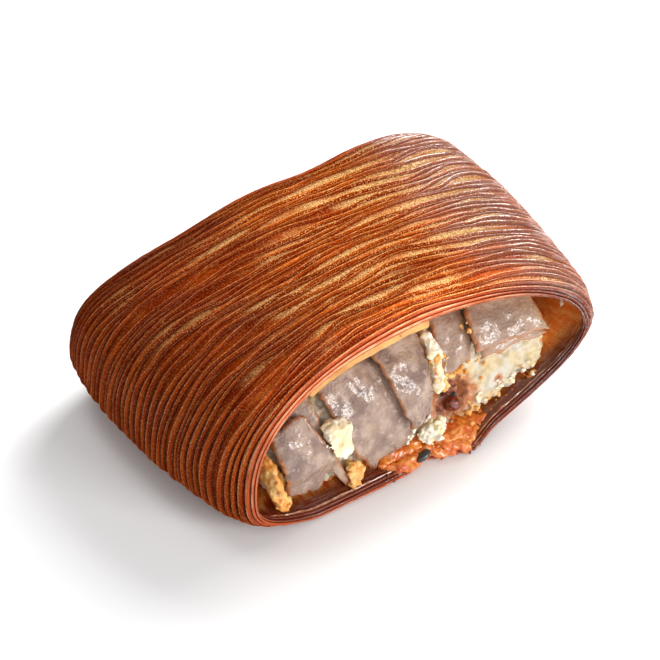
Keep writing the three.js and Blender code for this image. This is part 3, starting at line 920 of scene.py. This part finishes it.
def buildFilm():
    long, deep = [abs(film[key][1] - film[key][0]) for key in ("ends", "reach")]
    columns, rows = round(long / film["cell"]), round(deep / film["cell"])
    places = [between(film["ends"], i / columns) for i in range(columns + 1)]
    power = [along(tube["bottom"][sideOf(x)], 0) / 2 for x in places]
    halves = [along(tube["half"][sideOf(x)], 0) * narrowed(0) for x in places]
    turns = [2 * math.pi - math.acos(signedPower(x / half, p)) for x, half, p in zip(places, halves, power)]
    skins = [skinPath(u) for u in turns]
    bm = bmesh.new()
    bmesh.ops.create_grid(bm, x_segments=columns, y_segments=rows, size=0.5)
    thickness = bm.verts.layers.float.new("thickness")
    for vert in bm.verts:
        i = round((vert.co.x + 0.5) * columns)
        reached = between(film["reach"], vert.co.y + 0.5)
        edge = film["edge"] + film["ragged"] * noise.noise(Vector((places[i] / film["raggedSize"], 4, 0)))
        fromEnds = min(places[i] - film["ends"][0], film["ends"][1] - places[i])
        edge -= film["taper"][1] * (1 - quarterRound(fromEnds / film["taper"][0]))
        covered = 1 - ease(reached, edge - film["edgeFade"][0], edge + film["edgeFade"][1])
        v, inset = placeAt(reached, skins[i])
        vert.co = wallPoint(turns[i], v, inset)
        lumps = film["lumps"] * noise.noise(vert.co / film["lumpSize"])
        vert[thickness] = film["thickness"] * covered - film["sunk"] * (1 - covered) + lumps * covered
    bmesh.ops.recalc_face_normals(bm, faces=bm.faces)
    if sum(face.normal.z for face in bm.faces) < 0:
        bmesh.ops.reverse_faces(bm, faces=bm.faces)
    bm.normal_update()
    up = {vert.index: vert.normal.copy() for vert in bm.verts}
    own = bm.verts.layers.int.new("own")
    for vert in bm.verts:
        vert[own] = vert.index
    made = bmesh.ops.extrude_face_region(bm, geom=bm.faces[:], use_keep_orig=True)
    upper = {item for item in made["geom"] if isinstance(item, bmesh.types.BMVert)}
    for vert in bm.verts:
        lift = vert[thickness] if vert in upper else -film["sunk"] - film["under"]
        vert.co = inFrame(vert.co + up[vert[own]] * lift)
    bmesh.ops.recalc_face_normals(bm, faces=bm.faces)
    return bm


addPiece("sauce_spill", buildFilm(), sauceFinish)


def yellowLook():
    look = Look("yellow_cheese")
    tint = look.noise(5, 3)
    pinholes = look.between(look.noise(0.9, 1), 0.7, 0.78)
    colour = look.mix(look.between(tint, 0.35, 0.65), tone(222, 166, 84), tone(200, 132, 56))
    colour = look.mix(pinholes * 0.8, colour, tone(120, 70, 24))
    return look.finish(
        Base_Color=colour,
        Roughness=0.42,
        Coat_Weight=0.3,
        Coat_Roughness=0.2,
        Subsurface_Weight=0.2,
        Subsurface_Radius=(0.002, 0.0014, 0.0006),
        Normal=look.bump(tint, 0.3, 0.5),
    )


yellow = {"cell": 0.45, "lumps": ((6, 0.2), (1.5, 0.12)), "swell": 0.25}
yellowPlain = remeshed(plainCopy("yellow_cheese_slice"), yellow["cell"])
yellowSlice = lumpy(yellowPlain, yellow["lumps"], (), yellow["swell"])
addPiece("yellow_slice", yellowSlice, yellowLook(), ["yellow_cheese_slice"])


def burntLook(name, low, high, coat):
    look = Look(name)
    colour = look.mix(look.between(look.noise(0.8, 3), 0.35, 0.65), low, high)
    return look.finish(
        Base_Color=colour,
        Roughness=0.45,
        Coat_Weight=coat,
        Coat_Roughness=0.15,
        Normal=look.bump(look.noise(0.5, 2), 0.12, 0.8),
    )


burntFinish = burntLook("burnt_flakes", tone(58, 20, 10), tone(146, 72, 30), 0.3)

# crumbs and flakes: place in the mouth's millimetres, spread, count, smallest and largest size
bits = {
    "pale_crumbs": {
        "slot": "white_cheese", "look": whiteCheese, "flat": 0.7,
        "on": ("white_lump_low", "white_heap", "sauce", "cured_slice_3", "cured_slice_4"),
        "spots": (((0, 0, 12.5), 1.6, 16, (0.8, 2)), ((4, 0.5, 13.5), 1.8, 18, (0.8, 2.2)),
                  ((8.5, 1, 12.5), 1.6, 16, (0.8, 2.2)), ((5, -0.5, 8.5), 2.2, 16, (0.8, 2)),
                  ((-2, 0, 10), 1.4, 8, (0.7, 1.5)), ((21, 2.5, 10), 1.6, 8, (1, 2.2)),
                  ((26, 3, 11), 1.8, 8, (1, 2.2)), ((31, 3.5, 12), 1.8, 8, (1, 2.2)),
                  ((36, 4, 13), 1.6, 8, (0.9, 2))),
    },
    "wall_drops": {
        "slot": "white_cheese", "look": whiteCheese, "flat": 0.6, "on": ("crust",),
        "spots": (((51, 11, 20.5), 0.5, 4, (1, 2)),),
    },
    "toasted_crumbs": {
        "slot": "toasted_cheese", "look": toastedCheese, "flat": 0.75,
        "on": ("white_lump_top", "white_heap", "cured_slice_5", "cured_slice_6", "sauce", "sauce_spill",
               "toasted_lump", "toasted_strip"),
        "spots": (((8.5, 5, 26), 2, 14, (0.9, 2.2)), ((10, 3, 21.5), 1.8, 16, (0.9, 2.2)),
                  ((15, 3, 20.5), 2.5, 26, (0.8, 1.8)), ((18, 8.5, 31), 0.8, 4, (0.9, 1.8)),
                  ((18, 2.5, 7.5), 1.8, 14, (0.8, 1.9)), ((-20, -0.5, 11), 1.5, 10, (0.8, 1.8)),
                  ((-38.5, 1.5, 9), 1.8, 14, (0.8, 1.8)), ((21, 3, 20), 1.5, 6, (0.6, 1.2)),
                  ((23, 1.5, 6.5), 2.4, 7, (0.7, 1.4)), ((4, -1, 5), 3, 6, (0.6, 1.3))),
    },
    "burnt_flakes": {
        "slot": "seed", "look": burntFinish, "flat": 0.3,
        "on": ("crust", "sauce_spill", "white_heap"),
        "spots": (((12, 4, 13), 2, 10, (0.7, 1.6)), ((-10, -2, 1.5), 2, 8, (0.6, 1.3)),
                  ((15, -3.5, 2), 2.5, 10, (0.6, 1.4)), ((5, -2, 1.5), 3, 6, (0.5, 1))),
    },
}
bitShape = {
    "waves": ((1.3, 0.75), (2.7, 0.4)),  # fineness and depth of the unevenness
    "narrow": (0.5, 1),
    "flat": (0.7, 1.2),
    "scatter": 0.6,
    "raised": 0.12,
}
tomato = {"place": (13.5, 3.6, 9.6), "size": 3.8, "lumps": (1.2, 0.12), "raised": 0.2}
seed = {
    "place": (0, -0.6, 3),
    "size": (4.6, 2.5, 1.9),
    "turn": 8,
    "tilt": -14,
    "lumps": (0.5, 0.06),
    "raised": 0.35,
}


def treeOf(names):
    bm = bmesh.new()
    for name in names:
        bm.from_mesh(bpy.data.objects[name].data)
    tree = BVHTree.FromBMesh(bm)
    bm.free()
    return tree


def addBit(bm, at, upward, size, flat, draw):
    made = bmesh.ops.create_icosphere(bm, subdivisions=2, radius=size / 2 * mm)["verts"]
    shift = Vector([draw.uniform(0, 50) for _ in range(3)])
    for vert in made:
        place = vert.co.normalized()
        vert.co *= 1 + sum(depth * noise.noise(place * fine + shift) for fine, depth in bitShape["waves"])
    narrow = draw.uniform(*bitShape["narrow"])
    bmesh.ops.scale(bm, verts=made, vec=(1, narrow, flat * draw.uniform(*bitShape["flat"])))
    spin = Matrix.Rotation(draw.uniform(0, 2 * math.pi), 4, "Z")
    turn = upward.to_track_quat("Z", "Y").to_matrix().to_4x4()
    bmesh.ops.transform(bm, verts=made, matrix=Matrix.Translation(at) @ turn @ spin)


def buildBits(kind):
    draw = random.Random(11)
    tree = treeOf(kind["on"])
    bm = bmesh.new()
    for place, spread, count, sizes in kind["spots"]:
        for _ in range(count):
            aside = Vector([draw.gauss(0, bitShape["scatter"]) * spread for _ in range(3)])
            at, upward, _, _ = tree.find_nearest(inFrame(Vector(place) + aside))
            size = lerp(sizes[0], sizes[1], draw.random() ** 2)
            raised = upward * size * bitShape["raised"] * kind["flat"] * mm
            addBit(bm, at + raised, upward, size, kind["flat"], draw)
    return bm


def buildTomato():
    at, upward, _, _ = treeOf(["white_heap"]).find_nearest(inFrame(Vector(tomato["place"])))
    bm = bmesh.new()
    made = bmesh.ops.create_icosphere(bm, subdivisions=4, radius=tomato["size"] / 2 * mm)["verts"]
    size, depth = tomato["lumps"]
    for vert in made:
        vert.co *= 1 + depth * noise.noise(vert.co / mm / size)
    bmesh.ops.translate(bm, verts=made, vec=at + upward * tomato["raised"] * tomato["size"] * mm)
    return bm


def buildSeed():
    at, upward, _, _ = treeOf(["sauce_spill", "crust"]).find_nearest(inFrame(Vector(seed["place"])))
    bm = bmesh.new()
    made = bmesh.ops.create_icosphere(bm, subdivisions=4, radius=0.5 * mm)["verts"]
    bmesh.ops.scale(bm, verts=made, vec=seed["size"])
    size, depth = seed["lumps"]
    for vert in made:
        vert.co *= 1 + depth * noise.noise(vert.co / mm / size)
    spin = Matrix.Rotation(math.radians(seed["turn"]), 4, "Z")
    tip = Matrix.Rotation(math.radians(seed["tilt"]), 4, "Y")
    raised = Matrix.Translation(at + upward * seed["raised"] * seed["size"][2] * mm)
    bmesh.ops.transform(bm, verts=made, matrix=raised @ spin @ tip)
    return bm


for name, kind in bits.items():
    addPiece(name, buildBits(kind), kind["look"])
tomatoFinish = burntLook("roast_tomato", tone(70, 14, 8), tone(142, 46, 14), 1)
seedFinish = burntLook("seed_coat", tone(16, 12, 14), tone(52, 44, 46), 0.8)
addPiece("tomato_bit", buildTomato(), tomatoFinish)
addPiece("black_seed", buildSeed(), seedFinish)


# floor, light and camera
stage = {
    "floor": 6,
    "floorTone": (0.92, 0.92, 0.92, 1),
    "skyStrength": 0.3,
    "lights": (  # azimuth, elevation, distance, size, watts
        ("key", 112, 40, 1.0, 0.6, 13),
        ("front", 24, 20, 1.0, 0.35, 5.5),
        ("fill", -20, 42, 1.2, 1.2, 5),
        ("sheen", 106, 18, 1.2, 0.35, 6.5),
        ("top", 200, 70, 1.0, 0.3, 1.6),
    ),
}
view = {
    "azimuth": -33.2,
    "elevation": 43.15,
    "distance": 580,
    "aim": (0, 34.5, 23.75),
    "lens": 126.5,
    "sensor": 36,
    "seenAt": (342.5, 314.6),  # pixel of the aim in a picture 660 wide and high
    "picture": 660,
}


def direction(azimuth, elevation):
    a, e = math.radians(azimuth), math.radians(elevation)
    return Vector((math.sin(a) * math.cos(e), -math.cos(a) * math.cos(e), math.sin(e)))


def buildStage():
    bm = bmesh.new()
    bmesh.ops.create_grid(bm, x_segments=1, y_segments=1, size=stage["floor"] / 2)
    mesh = bpy.data.meshes.new("floor")
    bm.to_mesh(mesh)
    bm.free()
    floor = bpy.data.objects.new("floor", mesh)
    bpy.context.scene.collection.objects.link(floor)
    paleFloor = Look("pale_floor").finish(Base_Color=stage["floorTone"], Roughness=0.9)
    mesh.materials.append(paleFloor.material)
    world = bpy.data.worlds.new("studio")
    world.use_nodes = True
    sky = world.node_tree.nodes["Background"].inputs
    sky["Strength"].default_value = stage["skyStrength"]
    sky["Color"].default_value = (1, 1, 1, 1)
    bpy.context.scene.world = world
    for name, azimuth, elevation, distance, size, watts in stage["lights"]:
        lamp = bpy.data.lights.new(name, "AREA")
        lamp.size = size
        lamp.energy = watts
        holder = bpy.data.objects.new(name, lamp)
        back = direction(azimuth, elevation)
        holder.location = back * distance
        holder.rotation_euler = back.to_track_quat("Z", "Y").to_euler()
        bpy.context.scene.collection.objects.link(holder)
    bpy.context.scene.view_settings.view_transform = "Standard"


def buildCamera():
    data = bpy.data.cameras.new("camera")
    data.sensor_width = view["sensor"]
    data.lens = view["lens"]
    half = view["picture"] / 2
    data.shift_x = (half - view["seenAt"][0]) / view["picture"]
    data.shift_y = (view["seenAt"][1] - half) / view["picture"]
    camera = bpy.data.objects.new("camera", data)
    back = direction(view["azimuth"], view["elevation"])
    camera.location = inFrame(Vector(view["aim"])) + back * view["distance"] * mm
    camera.rotation_euler = back.to_track_quat("Z", "Y").to_euler()
    bpy.context.scene.collection.objects.link(camera)
    bpy.context.scene.camera = camera


buildStage()
buildCamera()
print("stage and camera ready")
